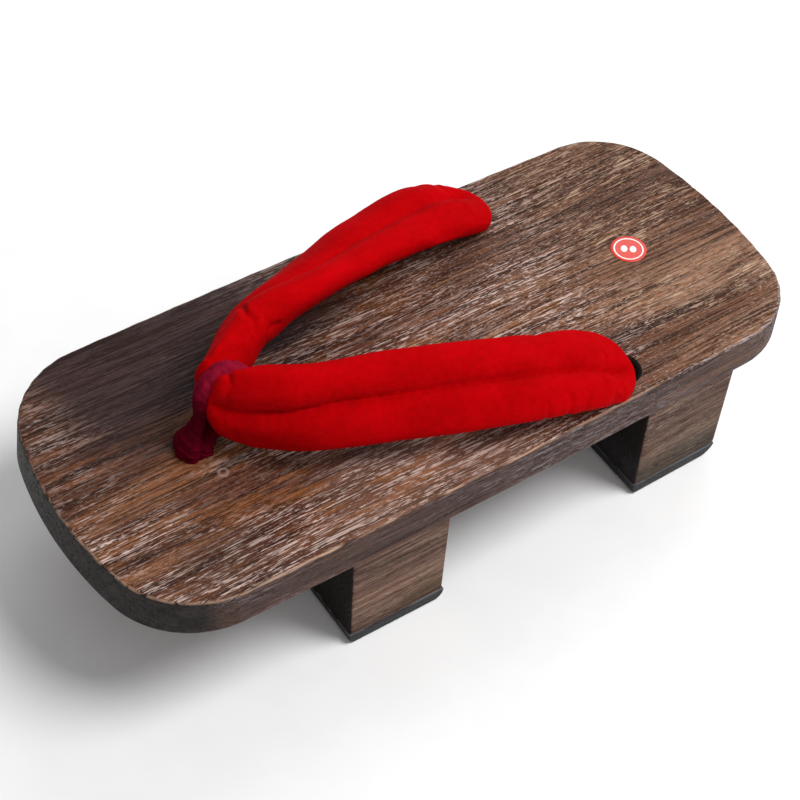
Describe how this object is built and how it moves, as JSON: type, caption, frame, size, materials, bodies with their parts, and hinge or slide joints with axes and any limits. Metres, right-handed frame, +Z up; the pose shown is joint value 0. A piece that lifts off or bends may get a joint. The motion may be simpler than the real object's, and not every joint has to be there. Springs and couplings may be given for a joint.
{
  "type": "geta sandal",
  "caption": "Wooden geta sandal on two broad teeth with rubber treads, padded red velvet V strap and gathered cloth thong.",
  "frame": {"origin": "on the floor under the middle of the board", "axes": "+X towards the toe, +Y to the wearer's left, +Z up"},
  "size_m": [0.245, 0.106, 0.0837],
  "materials": {
    "wood": "burnt and wire-brushed, matte",
    "rubber": "matte black",
    "velvet": "soft red velvet",
    "thong_cloth": "gathered dark crimson velvet"
  },
  "bodies": {
    "root": {"board": "wood", "front_tooth": "wood", "front_tread": "rubber", "rear_tooth": "wood", "rear_tread": "rubber", "upper": "velvet", "thong": "thong_cloth", "front_knot": "thong_cloth", "rear_knot_left": "velvet", "rear_knot_right": "velvet"}
  },
  "joints": []
}
